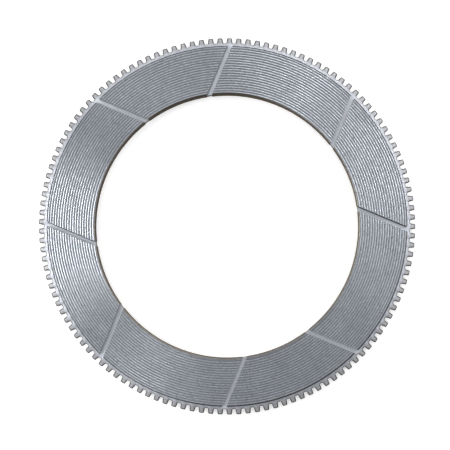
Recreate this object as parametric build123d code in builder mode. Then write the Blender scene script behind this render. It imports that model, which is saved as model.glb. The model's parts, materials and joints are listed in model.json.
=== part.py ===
import os
from math import radians, sin

from build123d import *

# Clutch friction plate: a toothed steel core with a friction facing bonded to each side.
# It lies flat with its axis on Z, and its back facing stands on Z = 0.

# Driving dimensions, in millimetres and degrees
tooth_count = 125
tooth_module = 3.175
tooth_tip_width = 5.2
tooth_root_width = 6.6
root_corner = 0.8
bore_radius = 141.2875
core_thickness = 3.175
facing_radius = 192.0875
facing_thickness = 1.5875
facing_edge_break = 0.25
cross_groove_width = 4.7625
cross_groove_offset = 71.0
cross_groove_angle = 67.5

# A tooth stands one module above the pitch circle and reaches four fifths of one below it
ADDENDUM = 1.0
DEDENDUM = 0.8
pitch_radius = tooth_module * tooth_count / 2
tip_radius = pitch_radius + ADDENDUM * tooth_module
root_radius = pitch_radius - DEDENDUM * tooth_module
half_pitch_angle = 180 / tooth_count

# Levels of the three layers
core_bottom = facing_thickness
core_top = core_bottom + core_thickness

# Two parallel cuts each way cross the facings
CROSS_GROOVES = 4
cross_groove_length = 2 * facing_radius


def half_space(radius, tooth_width):
    """Half the width of the space between two teeth, where the teeth are this wide."""
    return radius * sin(radians(half_pitch_angle)) - tooth_width / 2


def tooth_space():
    """One space between teeth, open outwards along X, with its two inner corners eased."""
    root_half = half_space(root_radius, tooth_root_width)
    tip_half = half_space(tip_radius, tooth_tip_width)
    spread = (tip_half - root_half) / (tip_radius - root_radius)
    mouth = tip_radius + tooth_module
    mouth_half = tip_half + spread * tooth_module
    with BuildSketch(mode=Mode.PRIVATE) as space:
        with BuildLine():
            Polyline(
                (root_radius, -root_half),
                (mouth, -mouth_half),
                (mouth, mouth_half),
                (root_radius, root_half),
                close=True,
            )
        make_face()
        chamfer(space.vertices().group_by(Axis.X)[0], root_corner)
    return space.sketch


def facing_outline():
    """A facing from above: a ring cut into eight pads by four straight grooves, two each way."""
    with BuildSketch(mode=Mode.PRIVATE) as outline:
        Circle(facing_radius)
        Circle(bore_radius, mode=Mode.SUBTRACT)
        with PolarLocations(cross_groove_offset, CROSS_GROOVES, start_angle=cross_groove_angle):
            Rectangle(cross_groove_width, cross_groove_length, mode=Mode.SUBTRACT)
    return outline.sketch


# Steel core: a flat ring with straight-sided teeth cut round its rim
with BuildPart() as core_plate:
    with BuildSketch(Plane.XY.offset(core_bottom)):
        Circle(tip_radius)
        Circle(bore_radius, mode=Mode.SUBTRACT)
        with PolarLocations(0, tooth_count, start_angle=half_pitch_angle):
            add(tooth_space(), mode=Mode.SUBTRACT)
    extrude(amount=core_thickness)

# Front facing
with BuildPart() as front_facing:
    with BuildSketch(Plane.XY.offset(core_top)):
        add(facing_outline())
    extrude(amount=facing_thickness)
    chamfer(front_facing.faces().group_by(Axis.Z)[-1].edges(), facing_edge_break)

# Back facing
with BuildPart() as back_facing:
    with BuildSketch():
        add(facing_outline())
    extrude(amount=facing_thickness)
    chamfer(back_facing.faces().group_by(Axis.Z)[0].edges(), facing_edge_break)

core_plate.part.label = "core_plate"
front_facing.part.label = "front_facing"
back_facing.part.label = "back_facing"

os.makedirs("parts", exist_ok=True)
export_step(core_plate.part, "parts/core_plate.step")
export_step(front_facing.part, "parts/front_facing.step")
export_step(back_facing.part, "parts/back_facing.step")
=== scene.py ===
import json
import math

import bmesh
import bpy
from mathutils import Matrix, Vector


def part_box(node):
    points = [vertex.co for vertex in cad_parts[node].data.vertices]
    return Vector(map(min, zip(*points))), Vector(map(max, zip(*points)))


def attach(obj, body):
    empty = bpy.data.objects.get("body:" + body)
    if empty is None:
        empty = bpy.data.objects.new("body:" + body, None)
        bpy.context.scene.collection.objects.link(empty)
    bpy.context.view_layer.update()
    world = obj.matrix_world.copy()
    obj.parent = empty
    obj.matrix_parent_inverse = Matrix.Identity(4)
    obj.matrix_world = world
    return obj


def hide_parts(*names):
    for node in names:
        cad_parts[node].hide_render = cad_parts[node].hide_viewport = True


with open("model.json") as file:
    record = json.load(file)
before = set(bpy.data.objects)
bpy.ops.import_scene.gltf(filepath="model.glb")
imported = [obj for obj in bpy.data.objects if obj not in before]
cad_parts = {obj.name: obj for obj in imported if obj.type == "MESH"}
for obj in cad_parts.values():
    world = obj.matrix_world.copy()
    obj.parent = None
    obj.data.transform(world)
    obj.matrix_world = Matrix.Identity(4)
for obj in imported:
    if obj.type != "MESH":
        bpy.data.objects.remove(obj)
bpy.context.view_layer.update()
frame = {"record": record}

# Clutch friction plate: a toothed steel core with a grooved facing of sintered metal on each side

MM = 0.001

# Levels, outer size and bore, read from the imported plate
core_low, core_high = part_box("core_plate")
mounts = {mount["name"]: mount for mount in frame["record"]["mounts"]}
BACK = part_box("back_facing")[0].z
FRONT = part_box("front_facing")[1].z
CORE_BACK = core_low.z
CORE_FRONT = core_high.z
MID_PLANE = (CORE_BACK + CORE_FRONT) / 2
TIP_RADIUS = core_high.x
BORE_RADIUS = mounts["bore"]["dims"]["r_mm"] * MM

# Teeth: each is one module high above the pitch circle and four fifths of one below it
TOOTH_COUNT = 125
TOOTH_PITCH = math.tau / TOOTH_COUNT
TOOTH_MODULE = 3.175 * MM
ADDENDUM = 1.0
DEDENDUM = 0.8
TOOTH_HEIGHT = (ADDENDUM + DEDENDUM) * TOOTH_MODULE
TOOTH_TIP_WIDTH = 5.2 * MM
TOOTH_ROOT_WIDTH = 6.6 * MM
ROOT_RADIUS = TIP_RADIUS - TOOTH_HEIGHT
ROOT_FILLET = 0.8 * MM

# Eased edges of the core, which are those that turn by more than the corner angle
CORE_CORNER = math.radians(60)
RIM_EDGE = 0.9 * MM
BORE_EDGE = 0.12 * MM

# Facings: the outer edge is worn down from the last crest to a bevel
FACING_RADIUS = 192.0875 * MM
EDGE_BREAK = 0.25 * MM
LAST_CREST = 0.8 * MM
WORN_DROP = 1.0 * MM
RING_STEPS = 360

# Fine grooves turned round each facing, with a flat land inside the first and outside the last
TURNED_GROOVES = 18
TURNED_PITCH = 2.64 * MM
TURNED_DEPTH = 0.6 * MM
TURNED_MOUTH = 1.7 * MM
TURNED_FLOOR = 0.4 * MM
LAND = (FACING_RADIUS - BORE_RADIUS - (TURNED_GROOVES - 1) * TURNED_PITCH - TURNED_MOUTH) / 2
FIRST_TURNED = BORE_RADIUS + LAND + TURNED_MOUTH / 2

# Straight grooves cut across each facing, two each way
CROSS_GROOVES = 4
CROSS_WIDTH = 4.7625 * MM
CROSS_OFFSET = 71.0 * MM
CROSS_ANGLE = math.radians(67.5)

# Edges that turn by more than these angles are shaded sharp
CORE_SMOOTH = math.radians(28)
FACING_SMOOTH = math.radians(50)

WELD = 0.001 * MM
AXIS = Vector((0, 0, 1))
CENTRE = Vector((0, 0, 0))


def polar(radius, angle, height=0.0):
    """A point at this radius and angle round the plate's axis."""
    return Vector((radius * math.cos(angle), radius * math.sin(angle), height))


def arc(radius, start, end, steps):
    """Points along an arc about the axis, both ends included."""
    return [polar(radius, start + (end - start) * step / steps) for step in range(steps + 1)]


def sharp_edges(bm, least):
    """Edges between two faces that meet at more than this angle."""
    return [edge for edge in bm.edges if edge.is_manifold and edge.calc_face_angle() > least]


def ease_edges(bm, edges, size, segments):
    """Rounds edges of a solid."""
    bmesh.ops.bevel(
        bm, geom=edges, offset=size, offset_type="OFFSET", affect="EDGES",
        segments=segments, profile=0.5, material=-1, clamp_overlap=True,
    )


def fillet_roots(bm, half_root):
    """Rounds the two corners of the flat outline at a tooth's root, which lie this angle either side of X."""
    corners = [
        vert for vert in bm.verts
        if min((vert.co - polar(ROOT_RADIUS, side * half_root)).length for side in (-1, 1)) < WELD
    ]
    bmesh.ops.bevel(
        bm, geom=corners, offset=ROOT_FILLET, offset_type="OFFSET", affect="VERTICES",
        segments=4, profile=0.5, material=-1,
    )


def tooth_pitch_outline(bm):
    """One pitch of the core from above, from the bore to the tip of its tooth."""
    half_pitch = TOOTH_PITCH / 2
    half_root = math.asin(TOOTH_ROOT_WIDTH / 2 / ROOT_RADIUS)
    half_tip = math.asin(TOOTH_TIP_WIDTH / 2 / TIP_RADIUS)
    outline = arc(BORE_RADIUS, half_pitch, -half_pitch, steps=4)
    outline += [polar(ROOT_RADIUS, -half_pitch), polar(ROOT_RADIUS, -half_root)]
    outline += arc(TIP_RADIUS, -half_tip, half_tip, steps=2)
    outline += [polar(ROOT_RADIUS, half_root), polar(ROOT_RADIUS, half_pitch)]
    bm.faces.new([bm.verts.new(point) for point in outline])
    fillet_roots(bm, half_root)


def toothed_core():
    """The steel core: one pitch repeated round the axis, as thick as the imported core, its edges eased."""
    bm = bmesh.new()
    tooth_pitch_outline(bm)
    bmesh.ops.spin(
        bm, geom=bm.faces[:], cent=CENTRE, axis=AXIS, angle=TOOTH_PITCH * (TOOTH_COUNT - 1),
        steps=TOOTH_COUNT - 1, use_duplicate=True,
    )
    bmesh.ops.remove_doubles(bm, verts=bm.verts[:], dist=WELD)
    bmesh.ops.translate(bm, verts=bm.verts[:], vec=(0, 0, CORE_BACK))
    extruded = bmesh.ops.extrude_face_region(bm, geom=bm.faces[:])["geom"]
    raised = [part for part in extruded if isinstance(part, bmesh.types.BMVert)]
    bmesh.ops.translate(bm, verts=raised, vec=(0, 0, CORE_FRONT - CORE_BACK))
    bmesh.ops.recalc_face_normals(bm, faces=bm.faces[:])
    corners = sharp_edges(bm, CORE_CORNER)
    between = (BORE_RADIUS + ROOT_RADIUS) / 2
    rim = [edge for edge in corners if edge.verts[0].co.xy.length > between]
    bore = [edge for edge in corners if edge.verts[0].co.xy.length < between]
    ease_edges(bm, rim, RIM_EDGE, segments=3)
    ease_edges(bm, bore, BORE_EDGE, segments=1)
    return bm


def facing_section():
    """Radius and height of the points round a facing's section, from its inner foot to its outer one."""
    points = [
        (BORE_RADIUS, CORE_FRONT),
        (BORE_RADIUS, FRONT - EDGE_BREAK),
        (BORE_RADIUS + EDGE_BREAK, FRONT),
    ]
    for groove in range(TURNED_GROOVES):
        middle = FIRST_TURNED + groove * TURNED_PITCH
        points += [
            (middle - TURNED_MOUTH / 2, FRONT),
            (middle - TURNED_FLOOR / 2, FRONT - TURNED_DEPTH),
            (middle + TURNED_FLOOR / 2, FRONT - TURNED_DEPTH),
            (middle + TURNED_MOUTH / 2, FRONT),
        ]
    points += [
        (FACING_RADIUS - LAND + LAST_CREST, FRONT),
        (FACING_RADIUS, FRONT - WORN_DROP),
        (FACING_RADIUS, CORE_FRONT),
    ]
    return points


def whole_facing(bm):
    """A facing before the straight grooves are cut: its section turned once round the axis."""
    verts = [bm.verts.new((radius, 0, height)) for radius, height in facing_section()]
    edges = [bm.edges.new((verts[i - 1], verts[i])) for i in range(len(verts))]
    bmesh.ops.spin(
        bm, geom=verts + edges, cent=CENTRE, axis=AXIS, angle=math.tau, steps=RING_STEPS, use_merge=True,
    )


def cut_across(bm):
    """Cuts the straight grooves right through the facing, which leaves eight closed pads."""
    across = [polar(1, CROSS_ANGLE + turn * math.tau / CROSS_GROOVES) for turn in range(CROSS_GROOVES)]
    for direction in across:
        for wall in (CROSS_OFFSET - CROSS_WIDTH / 2, CROSS_OFFSET + CROSS_WIDTH / 2):
            bmesh.ops.bisect_plane(
                bm, geom=bm.verts[:] + bm.edges[:] + bm.faces[:], dist=WELD,
                plane_co=direction * wall, plane_no=direction,
            )
    swarf = [
        face for face in bm.faces
        if any(abs(face.calc_center_median().dot(way) - CROSS_OFFSET) < CROSS_WIDTH / 2 for way in across)
    ]
    bmesh.ops.delete(bm, geom=swarf, context="FACES")
    open_ends = [edge for edge in bm.edges if edge.is_boundary]
    bmesh.ops.holes_fill(bm, edges=open_ends, sides=0)


def grooved_facing():
    """The front facing: eight pads with turned grooves."""
    bm = bmesh.new()
    whole_facing(bm)
    cut_across(bm)
    bmesh.ops.recalc_face_normals(bm, faces=bm.faces[:])
    return bm


def turned_over(bm):
    """The same facing on the other side of the core."""
    bmesh.ops.scale(
        bm, verts=bm.verts[:], vec=(1, 1, -1), space=Matrix.Translation((0, 0, -MID_PLANE)),
    )
    bmesh.ops.recalc_face_normals(bm, faces=bm.faces[:])
    return bm


# Node helpers

# Noise seldom leaves this range
NOISE_LOW = 0.3
NOISE_HIGH = 0.7


def add(tree, kind, **settings):
    """Adds a node and sets its properties."""
    node = tree.nodes.new(kind)
    for name, value in settings.items():
        setattr(node, name, value)
    return node


def feed(tree, socket, value):
    """Gives a socket a link or a plain value, or leaves it as it is where there is none."""
    if isinstance(value, bpy.types.NodeSocket):
        tree.links.new(value, socket)
    elif value is not None:
        socket.default_value = value


def maths(tree, operation, first, second=None, third=None, clamp=False):
    """One step of arithmetic."""
    node = add(tree, "ShaderNodeMath", operation=operation, use_clamp=clamp)
    for socket, value in zip(node.inputs, (first, second, third)):
        feed(tree, socket, value)
    return node.outputs[0]


def vector_maths(tree, operation, first, second=None):
    """One step of arithmetic on vectors. It gives both outputs of the node, a vector and a value."""
    node = add(tree, "ShaderNodeVectorMath", operation=operation)
    feed(tree, node.inputs[0], first)
    feed(tree, node.inputs[1], second)
    return node.outputs


def split(tree, vector):
    """The X, Y and Z of a vector."""
    node = add(tree, "ShaderNodeSeparateXYZ")
    feed(tree, node.inputs[0], vector)
    return node.outputs


def join(tree, x, y, z=None):
    """A vector from its X, Y and Z."""
    node = add(tree, "ShaderNodeCombineXYZ")
    for socket, value in zip(node.inputs, (x, y, z)):
        feed(tree, socket, value)
    return node.outputs[0]


def object_place(tree):
    """Where a point lies on the plate."""
    return add(tree, "ShaderNodeTexCoord").outputs["Object"]


def flat_place(tree):
    """Where a point lies on the plate, seen from above."""
    place = split(tree, object_place(tree))
    return join(tree, place["X"], place["Y"])


def along(tree, place, heading):
    """How far a place lies along this heading."""
    return vector_maths(tree, "DOT_PRODUCT", place, polar(1, heading))["Value"]


def ramp(tree, value, low, high, to_low=0.0, to_high=1.0):
    """Smooth step of a value from low to high."""
    node = add(tree, "ShaderNodeMapRange", interpolation_type="SMOOTHSTEP")
    for socket, given in zip(node.inputs, (value, low, high, to_low, to_high)):
        feed(tree, socket, given)
    return node.outputs[0]


def outside(tree, distance, edge, soft):
    """One where a distance is beyond this edge and zero within it, with a soft border."""
    return ramp(tree, distance, edge - soft, edge + soft)


def inside(tree, distance, edge, soft):
    """One where a distance is within this edge and zero beyond it, with a soft border."""
    return ramp(tree, distance, edge + soft, edge - soft)


def blend(tree, share, first, second):
    """Mixes two colours."""
    node = add(tree, "ShaderNodeMix", data_type="RGBA")
    feed(tree, node.inputs["Factor"], share)
    feed(tree, node.inputs["A"], first)
    feed(tree, node.inputs["B"], second)
    return node.outputs["Result"]


def paint(tree, under, mask, over, strength):
    """Lays a colour over another where a mask is one, at this strength."""
    return blend(tree, maths(tree, "MULTIPLY", mask, strength), under, over)


def noise(tree, place, scale, detail=2.0, roughness=0.5):
    """Noise at a scale given in waves to a unit of the place."""
    node = add(tree, "ShaderNodeTexNoise", noise_dimensions="3D")
    for label, value in (("Vector", place), ("Scale", scale), ("Detail", detail), ("Roughness", roughness)):
        feed(tree, node.inputs[label], value)
    return node.outputs[0]


def spread(tree, grey):
    """Noise drawn out to the full range from zero to one."""
    return ramp(tree, grey, NOISE_LOW, NOISE_HIGH)


def new_group(name, inputs, outputs, output_type="NodeSocketFloat"):
    """An empty node group with numbers for inputs, and its two end nodes."""
    tree = bpy.data.node_groups.new(name, "ShaderNodeTree")
    for label, start in inputs.items():
        socket = tree.interface.new_socket(name=label, in_out="INPUT", socket_type="NodeSocketFloat")
        socket.default_value = start
    for label in outputs:
        tree.interface.new_socket(name=label, in_out="OUTPUT", socket_type=output_type)
    return tree, tree.nodes.new("NodeGroupInput").outputs, tree.nodes.new("NodeGroupOutput").inputs


def use_group(tree, group, **values):
    """Places a group in a material. An underscore in a keyword stands for the space in an input's name."""
    node = add(tree, "ShaderNodeGroup", node_tree=group)
    for label, value in values.items():
        feed(tree, node.inputs[label.replace("_", " ")], value)
    return node.outputs


# Effects that both metals share

# The noise at a pit's rim where the pit share is one, and how far it falls from any pit's rim to its floor
PIT_RIM = 0.5
PIT_SLOPE = 0.06

# A quarter of a whole turn, which sets the brushed gloss square to its tangent
BRUSH_TURN = 0.25

# Painted shade: side walls and the core's eased edges are darkest where they face this way, away from the
# light, and the facing's outer bevel takes its painted tones from it
AWAY_FROM_LIGHT = (0.45, -0.89, 0)

# Where each mask of a surface's lie is zero and where it is one: the first two, which steer painted shade and
# light, by how much the surface faces AWAY_FROM_LIGHT, and the last two by the upright part of its normal
SHADEWARD_RANGE = (-0.3, 0.2)
LIGHTWARD_RANGE = (-0.4, -0.6)
LEVEL_RANGE = (0.97, 0.998)
WALL_RANGE = (0.3, 0.08)

# The walls' brown, and the same brown darkened as painted shade for walls that face away from the light
WALL_BROWN = (0.10, 0.083, 0.06, 1)
WALL_SHADED_BROWN = (0.065, 0.052, 0.036, 1)
WALL_ROUGHNESS = 0.6


def metal_grain_group():
    """Fine grain, dark pits and broad clouding. Sizes are in metres. A greater pit share makes more pits."""
    inputs = {"Grain size": 0.6 * MM, "Pit size": 1.2 * MM, "Pit share": 0.3, "Cloud size": 30 * MM}
    tree, given, out = new_group("metal grain", inputs, ["Grain", "Pits", "Clouds"])
    place = object_place(tree)
    grain = noise(tree, place, maths(tree, "DIVIDE", 1.0, given["Grain size"]), detail=3.0, roughness=0.6)
    feed(tree, out["Grain"], spread(tree, grain))
    pits = noise(tree, place, maths(tree, "DIVIDE", 1.0, given["Pit size"]))
    pit_rim = maths(tree, "MULTIPLY", given["Pit share"], PIT_RIM)
    pit_floor = maths(tree, "SUBTRACT", pit_rim, PIT_SLOPE)
    feed(tree, out["Pits"], ramp(tree, pits, pit_rim, pit_floor))
    clouds = noise(tree, place, maths(tree, "DIVIDE", 1.0, given["Cloud size"]), detail=3.0, roughness=0.6)
    feed(tree, out["Clouds"], spread(tree, clouds))
    return tree


def turning_marks_group():
    """Fine streaks that run round the axis, as a lathe or a rotary grinder leaves them."""
    tree, given, out = new_group("turning marks", {"Mark width": 0.4 * MM, "Marks round": 30.0}, ["Marks"])
    flat = flat_place(tree)
    way = split(tree, vector_maths(tree, "NORMALIZE", flat)["Vector"])
    radius = vector_maths(tree, "LENGTH", flat)["Value"]
    drawn_out = join(
        tree,
        maths(tree, "MULTIPLY", way["X"], given["Marks round"]),
        maths(tree, "MULTIPLY", way["Y"], given["Marks round"]),
        maths(tree, "DIVIDE", radius, given["Mark width"]),
    )
    feed(tree, out["Marks"], spread(tree, noise(tree, drawn_out, 1.0, detail=3.0, roughness=0.6)))
    return tree


def surface_lie_group():
    """How a point lies on the plate.

    Edge and Wall mark the eased edges and the side walls. Shadeward grows to one as a surface turns toward -Y
    and a little +X, away from the light, and Lightward as it turns the other way, toward it; both steer
    painted shade and light.
    Radius is the distance from the axis, and From middle the distance from mid-plane.
    """
    outputs = ["Edge", "Wall", "Downhill", "Lightward", "Radius", "From middle"]
    tree, given, out = new_group("surface lie", {"Mid plane": MID_PLANE}, outputs)
    feed(tree, out["Radius"], vector_maths(tree, "LENGTH", flat_place(tree))["Value"])
    above = maths(tree, "SUBTRACT", split(tree, object_place(tree))["Z"], given["Mid plane"])
    feed(tree, out["From middle"], maths(tree, "ABSOLUTE", above))
    normal = add(tree, "ShaderNodeNewGeometry").outputs["True Normal"]
    slope = vector_maths(tree, "DOT_PRODUCT", normal, AWAY_FROM_LIGHT)["Value"]
    feed(tree, out["Downhill"], ramp(tree, slope, *SHADEWARD_RANGE))
    feed(tree, out["Lightward"], ramp(tree, slope, *LIGHTWARD_RANGE))
    upright = maths(tree, "ABSOLUTE", split(tree, normal)["Z"])
    level = ramp(tree, upright, *LEVEL_RANGE)
    wall = ramp(tree, upright, *WALL_RANGE)
    feed(tree, out["Wall"], wall)
    feed(tree, out["Edge"], maths(tree, "SUBTRACT", 1.0, maths(tree, "ADD", level, wall), clamp=True))
    return tree


def wall_varnish_and_shade_group():
    """Brown varnish of side walls, with painted shade that darkens those facing away from the light."""
    tree, given, out = new_group("wall varnish and shade", {"Downhill": 0.0}, ["Varnish"], "NodeSocketColor")
    feed(tree, out["Varnish"], blend(tree, given["Downhill"], WALL_BROWN, WALL_SHADED_BROWN))
    return tree


def new_metal(name, anisotropy):
    """A material with a Principled shader, whose brushed gloss runs round the axis."""
    material = bpy.data.materials.new(name)
    material.use_nodes = True
    tree = material.node_tree
    shader = tree.nodes["Principled BSDF"]
    round_axis = add(tree, "ShaderNodeTangent", direction_type="RADIAL", axis="Z")
    tree.links.new(round_axis.outputs[0], shader.inputs["Tangent"])
    shader.inputs["Anisotropic"].default_value = anisotropy
    shader.inputs["Anisotropic Rotation"].default_value = BRUSH_TURN
    return material, tree, shader


def relief(tree, shader, grain, marks, depth):
    """Raises the grain and half the turning marks on the surface by this depth, and sinks the pits."""
    height = maths(tree, "MULTIPLY_ADD", marks["Marks"], 0.5, grain["Grain"])
    height = maths(tree, "MULTIPLY_ADD", grain["Pits"], -1.0, height)
    bump = add(tree, "ShaderNodeBump")
    bump.inputs["Strength"].default_value = 1.0
    bump.inputs["Distance"].default_value = depth
    tree.links.new(height, bump.inputs["Height"])
    tree.links.new(bump.outputs[0], shader.inputs["Normal"])


# Colours of the facings
WORN_DULL = (0.455, 0.486, 0.53, 1)
WORN_BRIGHT = (0.80, 0.835, 0.895, 1)
WORN_GRAIN = (0.455, 0.487, 0.54, 1)
GROOVE_GREY = (0.315, 0.34, 0.38, 1)
CLOUD_GREY = (0.258, 0.275, 0.31, 1)
PIT_BLACK = (0.03, 0.03, 0.035, 1)
INNER_LAND_GREY = (0.20, 0.21, 0.235, 1)
# Painted shade and light on the facing's worn outer bevel: near black, with greys where it faces away from
# the light and where it faces toward it
BEVEL_SHADE_BLACK = (0.015, 0.015, 0.017, 1)
BEVEL_SHADEWARD_GREY = (0.15, 0.15, 0.16, 1)
BEVEL_LIGHTWARD_GREY = (0.20, 0.21, 0.23, 1)
INNER_EDGE_BROWN = (0.20, 0.16, 0.11, 1)
# Painted shade along the bore's edge on the side away from the light, in dark brown
BORE_SHADE_BROWN = (0.06, 0.048, 0.033, 1)

# How far the marks reach: the painted shade on the worn bevel from the outer edge, the brown edge and the
# painted shade at the bore from the bore
BEVEL_SHADE_REACH = 1.15 * MM
BROWN_EDGE = 0.35 * MM
BORE_SHADE_REACH = 1.3 * MM

# Painted shade lies along the part of the bore's edge that is toward this heading, where the bore's wall
# faces away from the light. It starts and is full where the distance along the heading is these shares of the
# bore's radius
BORE_SHADE_HEADING = math.radians(98)
BORE_SHADE_STARTS = 0.7
BORE_SHADE_IS_FULL = 0.97

# The turned grooves are rougher than the worn crests between them, and grain roughens both
GROOVE_ROUGHNESS = 0.56
CREST_ROUGHNESS = 0.29
FACING_GRAIN_ROUGHENS = 0.16


def worn_sintered_metal(tree, grain, marks, crest):
    """Grey sintered metal, worn bright on its crests and duller in its grooves, with clouds and pits."""
    worn = blend(tree, marks["Marks"], WORN_DULL, WORN_BRIGHT)
    worn = paint(tree, worn, grain["Grain"], WORN_GRAIN, strength=0.4)
    colour = blend(tree, crest, GROOVE_GREY, worn)
    colour = paint(tree, colour, grain["Clouds"], CLOUD_GREY, strength=0.18)
    return paint(tree, colour, grain["Pits"], PIT_BLACK, strength=0.8)


def stained_and_shaded_edges(tree, colour, lie):
    """The facing's colour: a dull inner land, painted shade and light on the worn bevel, a brown edge at the
    bore and painted shade on one side of it.
    """
    radius = lie["Radius"]
    inner_land = inside(tree, radius, BORE_RADIUS + LAND, soft=0.3 * MM)
    colour = paint(tree, colour, inner_land, INNER_LAND_GREY, strength=0.35)
    # Painted shade and light on the worn bevel outside, by the way it faces
    bevel = blend(tree, lie["Downhill"], BEVEL_SHADE_BLACK, BEVEL_SHADEWARD_GREY)
    bevel = blend(tree, lie["Lightward"], bevel, BEVEL_LIGHTWARD_GREY)
    colour = blend(tree, outside(tree, radius, FACING_RADIUS - BEVEL_SHADE_REACH, soft=0.2 * MM), colour, bevel)
    inner_edge = inside(tree, radius, BORE_RADIUS + BROWN_EDGE, soft=0.25 * MM)
    colour = paint(tree, colour, inner_edge, INNER_EDGE_BROWN, strength=0.7)
    # Painted shade in dark brown along the bore's edge on the side away from the light
    toward = along(tree, object_place(tree), BORE_SHADE_HEADING)
    toward = ramp(tree, toward, BORE_SHADE_STARTS * BORE_RADIUS, BORE_SHADE_IS_FULL * BORE_RADIUS)
    at_bore = inside(tree, radius, BORE_RADIUS + BORE_SHADE_REACH, soft=0.5 * MM)
    return paint(tree, colour, maths(tree, "MULTIPLY", at_bore, toward), BORE_SHADE_BROWN, strength=0.85)


def sintered_facing_metal(grain_group, marks_group, lie_group, varnish_and_shade_group):
    """The facings' metal: bright worn crests, duller grooves, pits, painted shade at the edges, and walls
    with brown varnish and painted shade.
    """
    material, tree, shader = new_metal("sintered facing metal", anisotropy=0.5)
    shader.inputs["Metallic"].default_value = 0.9
    grain = use_group(
        tree, grain_group, Grain_size=0.5 * MM, Pit_size=1.4 * MM, Pit_share=0.69, Cloud_size=26 * MM,
    )
    marks = use_group(tree, marks_group, Mark_width=0.9 * MM, Marks_round=55.0)
    lie = use_group(tree, lie_group)
    varnish_and_shade = use_group(tree, varnish_and_shade_group, Downhill=lie["Downhill"])["Varnish"]

    half = (FRONT - BACK) / 2
    crest = ramp(tree, lie["From middle"], half - TURNED_DEPTH, half)
    colour = stained_and_shaded_edges(tree, worn_sintered_metal(tree, grain, marks, crest), lie)
    feed(tree, shader.inputs["Base Color"], blend(tree, lie["Wall"], colour, varnish_and_shade))

    rough = maths(tree, "MULTIPLY_ADD", grain["Grain"], FACING_GRAIN_ROUGHENS, GROOVE_ROUGHNESS)
    rough = maths(tree, "MULTIPLY_ADD", crest, CREST_ROUGHNESS - GROOVE_ROUGHNESS, rough)
    rough = maths(tree, "MAXIMUM", rough, maths(tree, "MULTIPLY", lie["Wall"], WALL_ROUGHNESS))
    feed(tree, shader.inputs["Roughness"], rough)
    relief(tree, shader, grain, marks, depth=0.035 * MM)
    return material


# Colours of the core
GROUND_BRIGHT = (0.74, 0.77, 0.85, 1)
TOOTH_LIGHT = (0.64, 0.65, 0.69, 1)
TOOTH_DARK = (0.35, 0.355, 0.37, 1)
MILLED_LIGHT = (0.69, 0.735, 0.84, 1)
MILLED_DARK = (0.51, 0.55, 0.635, 1)
# Bright steel on the milled floors: worn bare on the level pair, and painted light on one side of the steep
# pair
BARE_AND_LIT_STEEL = (0.87, 0.92, 1.0, 1)
STEEL_GRAIN = (0.62, 0.62, 0.64, 1)
STEEL_CLOUD = (0.25, 0.25, 0.26, 1)
STEEL_PIT = (0.10, 0.095, 0.085, 1)
# Painted shade in the crease at the facing's foot
FOOT_SHADE_BLACK = (0.02, 0.02, 0.022, 1)
# Painted shadow of a wall along one side of the milled floors
SLOT_WALL_SHADOW = (0.03, 0.03, 0.034, 1)
# Painted shade along the flanks and tips of the teeth
TOOTH_EDGE_SHADE = (0.05, 0.049, 0.047, 1)
# Painted shade on the core's eased edges, darkest where they face away from the light
EDGE_SHADE = (0.07, 0.069, 0.067, 1)
EDGE_DEEP_SHADE = (0.022, 0.0215, 0.02, 1)

# Roughness of the core, and how much grain and marks add to it
GROUND_ROUGHNESS = 0.34
STEEL_GRAIN_ROUGHENS = 0.18
STEEL_MARKS_ROUGHEN = 0.08

# The milled floors look less metallic than the ground ring, and the teeth lose half as much
FLOOR_METALLIC = 0.3
TOOTH_SHARE = 0.5

# The ground ring and the milled floors end this far inside the roots of the teeth
GROUND_STOP = 0.1 * MM
MILLED_STOP = 0.75 * MM

# How bright the milled floors are made: one side of the steep pair by painted light, the level pair by wear
# all over
STEEP_PAINTED_LIGHT = 0.6
LEVEL_WORN = 0.35

# Painted shadow of a wall on the milled floors: how far from the wall it starts and is full, the least share
# of it that a half holds, and the share of it in the steep pair
WALL_SHADOW_STARTS = 1.5 * MM
WALL_SHADOW_IS_FULL = 0.7 * MM
LEAST_HELD = 0.2
WALL_SHADOW_IN_STEEP = 0.25

# Painted shade in the crease at the facing's foot, a black line: how far outside the facing its middle is,
# how far from its middle it is full and gone, and how much of it is missing on the milled floors
FOOT_LINE = 0.3 * MM
FOOT_LINE_FULL = 0.4 * MM
FOOT_LINE_GONE = 0.65 * MM
FOOT_LINE_MISSING = 0.9

# The painted shade along a tooth's border: how far outside the root it starts, and how far in it is full and
# gone
BORDER_STARTS = 0.6 * MM
BORDER_FULL = 1.1 * MM
BORDER_GONE = 1.6 * MM


def milled_slots(tree, heading):
    """The floors of the two straight grooves that lie across this heading.

    Gives where they are, where a painted shadow of the wall lies along their side toward the heading, and how
    far a point is to that side. Each groove is cut apart by the bore, and its clockwise half holds most of
    the painted shadow.
    """
    place = object_place(tree)
    across = along(tree, place, heading)
    which = maths(tree, "SIGN", across)
    aside = maths(tree, "SUBTRACT", across, maths(tree, "MULTIPLY", which, CROSS_OFFSET))
    half = CROSS_WIDTH / 2
    cut = inside(tree, maths(tree, "ABSOLUTE", aside), half, soft=0.1 * MM)
    # Painted shadow of the wall along the side toward the heading
    wall_shadow = ramp(tree, aside, half - WALL_SHADOW_STARTS, half - WALL_SHADOW_IS_FULL)
    clockwise = maths(tree, "MULTIPLY", which, along(tree, place, heading - math.pi / 2))
    held = ramp(tree, clockwise, -BORE_RADIUS / 2, BORE_RADIUS / 2, LEAST_HELD, 1.0)
    wall_shadow = maths(tree, "MULTIPLY", cut, maths(tree, "MULTIPLY", wall_shadow, held))
    return {"cut": cut, "wall_shadow": wall_shadow, "side": ramp(tree, aside, -half, half)}


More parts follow.
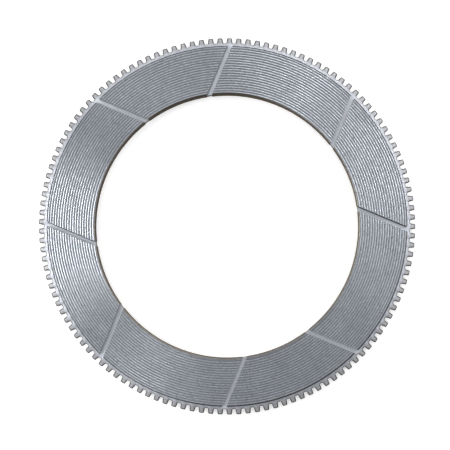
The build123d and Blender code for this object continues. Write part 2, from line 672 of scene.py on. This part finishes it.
def tooth_edge_shade(tree, radius):
    """Painted shade: a dark border just inside the flanks and tip of each tooth."""
    place = split(tree, object_place(tree))
    turn = maths(tree, "DIVIDE", maths(tree, "ARCTAN2", place["Y"], place["X"]), TOOTH_PITCH)
    aside = maths(tree, "ABSOLUTE", maths(tree, "SUBTRACT", turn, maths(tree, "ROUND", turn)))
    aside = maths(tree, "MULTIPLY", maths(tree, "MULTIPLY", aside, TOOTH_PITCH), radius)
    taper = (TOOTH_TIP_WIDTH - TOOTH_ROOT_WIDTH) / 2 / TOOTH_HEIGHT
    half_width = maths(tree, "MULTIPLY_ADD", radius, taper, TOOTH_ROOT_WIDTH / 2 - taper * ROOT_RADIUS)
    from_flank = maths(tree, "SUBTRACT", half_width, aside)
    from_tip = maths(tree, "SUBTRACT", TIP_RADIUS, radius)
    border = ramp(tree, maths(tree, "MINIMUM", from_flank, from_tip), BORDER_GONE, BORDER_FULL)
    return maths(tree, "MULTIPLY", outside(tree, radius, ROOT_RADIUS + BORDER_STARTS, soft=0.4 * MM), border)


# Numbers of the Mix node's vector sockets
MIX_FIRST_VECTOR = 4
MIX_SECOND_VECTOR = 5
MIX_VECTOR_RESULT = 1


def turn_brush_marks(tree, shader, share, heading):
    """Lets the brushed gloss run across this heading where the share is one."""
    turned = add(tree, "ShaderNodeMix", data_type="VECTOR")
    feed(tree, turned.inputs["Factor"], share)
    feed(tree, turned.inputs[MIX_FIRST_VECTOR], shader.inputs["Tangent"].links[0].from_socket)
    feed(tree, turned.inputs[MIX_SECOND_VECTOR], polar(1, heading + math.pi / 2))
    tree.links.new(turned.outputs[MIX_VECTOR_RESULT], shader.inputs["Tangent"])


def milled_floor(tree, grain, level, steep):
    """The straight grooves' floors. The steep pair has painted light on one side, and the level pair is worn
    bare all over.
    """
    floor_colour = blend(tree, grain["Grain"], MILLED_LIGHT, MILLED_DARK)
    # Painted light on one side of the steep pair
    lit_side = maths(tree, "MULTIPLY_ADD", steep["side"], -1.0, 1.0)
    lit_side = maths(tree, "MULTIPLY", steep["cut"], maths(tree, "MULTIPLY", lit_side, STEEP_PAINTED_LIGHT))
    bare_and_lit = maths(tree, "MAXIMUM", lit_side, maths(tree, "MULTIPLY", level["cut"], LEVEL_WORN))
    return blend(tree, bare_and_lit, floor_colour, BARE_AND_LIT_STEEL)


def core_painted_shade(tree, colour, radius, slot, level, steep):
    """The core's colour with painted shade at the facing's foot, along one wall of the straight grooves and
    round the teeth.
    """
    # Painted shade in the crease at the facing's foot, a black line
    from_foot = maths(tree, "ABSOLUTE", maths(tree, "SUBTRACT", radius, FACING_RADIUS + FOOT_LINE))
    foot_shade = ramp(tree, from_foot, FOOT_LINE_GONE, FOOT_LINE_FULL)
    left = maths(tree, "MULTIPLY_ADD", slot, -FOOT_LINE_MISSING, 1.0)
    foot_shade = maths(tree, "MULTIPLY", foot_shade, left)
    colour = paint(tree, colour, foot_shade, FOOT_SHADE_BLACK, strength=0.95)
    # Painted shadow of a wall along one side of the straight grooves' floors
    wall_shadow = maths(tree, "MAXIMUM", level["wall_shadow"], maths(tree, "MULTIPLY", steep["wall_shadow"], WALL_SHADOW_IN_STEEP))
    wall_shadow = maths(tree, "MULTIPLY", wall_shadow, inside(tree, radius, FACING_RADIUS, soft=0.5 * MM))
    colour = paint(tree, colour, wall_shadow, SLOT_WALL_SHADOW, strength=0.85)
    # Painted shade round the teeth
    return paint(tree, colour, tooth_edge_shade(tree, radius), TOOTH_EDGE_SHADE, strength=0.6)


def ground_core_steel(grain_group, marks_group, lie_group, varnish_and_shade_group):
    """Bare steel: ground bright inside the teeth, duller on them, with painted shade on the edges and brown
    varnish with painted shade on the walls.
    """
    material, tree, shader = new_metal("ground core steel", anisotropy=0.4)
    grain = use_group(
        tree, grain_group, Grain_size=1.2 * MM, Pit_size=1.6 * MM, Pit_share=0.66, Cloud_size=18 * MM,
    )
    marks = use_group(tree, marks_group, Mark_width=0.35 * MM, Marks_round=40.0)
    lie = use_group(tree, lie_group)
    varnish_and_shade = use_group(tree, varnish_and_shade_group, Downhill=lie["Downhill"])["Varnish"]
    radius = lie["Radius"]

    level = milled_slots(tree, CROSS_ANGLE)
    steep = milled_slots(tree, CROSS_ANGLE + math.pi / 2)
    turn_brush_marks(tree, shader, level["cut"], CROSS_ANGLE)
    turn_brush_marks(tree, shader, steep["cut"], CROSS_ANGLE + math.pi / 2)
    slot = maths(tree, "MAXIMUM", level["cut"], steep["cut"])
    floors = maths(tree, "MULTIPLY", slot, inside(tree, radius, ROOT_RADIUS - MILLED_STOP, soft=0.75 * MM))
    on_teeth = outside(tree, radius, ROOT_RADIUS - GROUND_STOP, soft=0.5 * MM)

    colour = blend(tree, on_teeth, GROUND_BRIGHT, blend(tree, grain["Grain"], TOOTH_LIGHT, TOOTH_DARK))
    colour = paint(tree, colour, floors, milled_floor(tree, grain, level, steep), strength=0.95)
    colour = paint(tree, colour, grain["Grain"], STEEL_GRAIN, strength=0.35)
    colour = paint(tree, colour, grain["Clouds"], STEEL_CLOUD, strength=0.15)
    colour = paint(tree, colour, grain["Pits"], STEEL_PIT, strength=0.6)
    colour = core_painted_shade(tree, colour, radius, slot, level, steep)
    # Painted shade on the eased edges, darkest where they face away from the light
    edge_shade = blend(tree, lie["Downhill"], EDGE_SHADE, EDGE_DEEP_SHADE)
    colour = blend(tree, lie["Edge"], colour, edge_shade)
    feed(tree, shader.inputs["Base Color"], blend(tree, lie["Wall"], colour, varnish_and_shade))

    dull = maths(tree, "MAXIMUM", floors, maths(tree, "MULTIPLY", on_teeth, TOOTH_SHARE))
    feed(tree, shader.inputs["Metallic"], maths(tree, "MULTIPLY_ADD", dull, FLOOR_METALLIC - 1.0, 1.0))
    rough = maths(tree, "MULTIPLY_ADD", grain["Grain"], STEEL_GRAIN_ROUGHENS, GROUND_ROUGHNESS)
    rough = maths(tree, "MULTIPLY_ADD", marks["Marks"], STEEL_MARKS_ROUGHEN, rough)
    rough = maths(tree, "MAXIMUM", rough, maths(tree, "MULTIPLY", lie["Wall"], WALL_ROUGHNESS))
    feed(tree, shader.inputs["Roughness"], rough)
    relief(tree, shader, grain, marks, depth=0.04 * MM)
    return material


def place_piece(name, bm, material, node, smooth_below):
    """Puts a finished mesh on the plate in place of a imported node."""
    for face in bm.faces:
        face.smooth = True
    for edge in sharp_edges(bm, smooth_below):
        edge.smooth = False
    mesh = bpy.data.meshes.new(name)
    bm.to_mesh(mesh)
    bm.free()
    mesh.materials.append(material)
    piece = bpy.data.objects.new(name, mesh)
    bpy.context.scene.collection.objects.link(piece)
    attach(piece, "root")
    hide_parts(node)


# Floor: white paper that glows a little, so that it stays white in the shade too
FLOOR_REACH = 4.0
PAPER_LIGHT = (0.93, 0.93, 0.93, 1)
PAPER_DARK = (0.90, 0.90, 0.90, 1)
FIBRES_TO_A_METRE = 900.0
PAPER_GLOW = 0.45


def white_paper():
    """The floor's finish."""
    material = bpy.data.materials.new("white paper")
    material.use_nodes = True
    tree = material.node_tree
    shader = tree.nodes["Principled BSDF"]
    fibre = noise(tree, object_place(tree), FIBRES_TO_A_METRE)
    feed(tree, shader.inputs["Base Color"], blend(tree, fibre, PAPER_DARK, PAPER_LIGHT))
    shader.inputs["Roughness"].default_value = 0.9
    shader.inputs["Specular IOR Level"].default_value = 0.1
    shader.inputs["Emission Color"].default_value = (1, 1, 1, 1)
    shader.inputs["Emission Strength"].default_value = PAPER_GLOW
    return material


def floor():
    """A wide white floor that the plate lies on."""
    bm = bmesh.new()
    bmesh.ops.create_grid(bm, x_segments=1, y_segments=1, size=FLOOR_REACH)
    bmesh.ops.translate(bm, verts=bm.verts[:], vec=(0, 0, BACK))
    mesh = bpy.data.meshes.new("floor")
    bm.to_mesh(mesh)
    bm.free()
    mesh.materials.append(white_paper())
    piece = bpy.data.objects.new("floor", mesh)
    bpy.context.scene.collection.objects.link(piece)


# Lamps: distance in metres, elevations in degrees, and the strength of the surround
LAMP_DISTANCE = 1.6
LOW = 15
HIGH = 35
SURROUND = 0.3


def softbox(name, azimuth, elevation, width, height, power):
    """A flat lamp that looks at the plate from this azimuth and elevation. Its sides are in metres."""
    lamp = bpy.data.lights.new(name, "AREA")
    lamp.shape = "RECTANGLE"
    lamp.size = width
    lamp.size_y = height
    lamp.energy = power
    away = polar(math.cos(math.radians(elevation)), math.radians(azimuth), math.sin(math.radians(elevation)))
    piece = bpy.data.objects.new(name, lamp)
    piece.location = away * LAMP_DISTANCE
    piece.rotation_euler = away.to_track_quat("Z", "Y").to_euler()
    bpy.context.scene.collection.objects.link(piece)


def studio():
    """Low softboxes at the left, the back and the right, weaker high ones, and a dim surround."""
    softbox("low left strip", 180, LOW, width=1.2, height=0.5, power=29.0)
    softbox("low right softbox", 26, LOW, width=1.0, height=0.6, power=17.2)
    softbox("low back softbox", 75, LOW, width=0.8, height=0.8, power=7.7)
    softbox("small back softbox", 60, LOW, width=0.5, height=0.5, power=5.8)
    softbox("front left strip", 236, LOW, width=0.6, height=0.5, power=6.5)
    softbox("high back softbox", 120, HIGH, width=0.8, height=0.8, power=3.0)
    softbox("high right softbox", 350, HIGH, width=0.8, height=0.8, power=2.8)
    world = bpy.data.worlds.new("studio surround")
    world.use_nodes = True
    world.node_tree.nodes["Background"].inputs["Color"].default_value = (1, 1, 1, 1)
    world.node_tree.nodes["Background"].inputs["Strength"].default_value = SURROUND
    bpy.context.scene.world = world
    bpy.context.scene.view_settings.view_transform = "Standard"


# Camera: it looks straight down from beside the plate's axis, and its frame is shifted to centre the plate
IMAGE_SIDE = 450
CAMERA_PLACE = Vector((17.0 * MM, -32.0 * MM, 446.0 * MM))
CAMERA_LENS = 33.0
CAMERA_SENSOR = 36.0
SHIFT_RIGHT = 17.95
SHIFT_DOWN = 31.25


def camera():
    """The photograph's view. The shifts are how far the plate moves in the picture, in pixels."""
    lens = bpy.data.cameras.new("camera")
    lens.lens = CAMERA_LENS
    lens.sensor_width = CAMERA_SENSOR
    lens.shift_x = -SHIFT_RIGHT / IMAGE_SIDE
    lens.shift_y = SHIFT_DOWN / IMAGE_SIDE
    lens.clip_start = 10 * MM
    viewer = bpy.data.objects.new("camera", lens)
    viewer.location = CAMERA_PLACE
    bpy.context.scene.collection.objects.link(viewer)
    bpy.context.scene.camera = viewer


shared = (metal_grain_group(), turning_marks_group(), surface_lie_group(), wall_varnish_and_shade_group())
steel = ground_core_steel(*shared)
sintered = sintered_facing_metal(*shared)

front = grooved_facing()
back = turned_over(front.copy())
place_piece("toothed_core", toothed_core(), steel, "core_plate", CORE_SMOOTH)
place_piece("front_friction_facing", front, sintered, "front_facing", FACING_SMOOTH)
place_piece("back_friction_facing", back, sintered, "back_facing", FACING_SMOOTH)

floor()
studio()
camera()
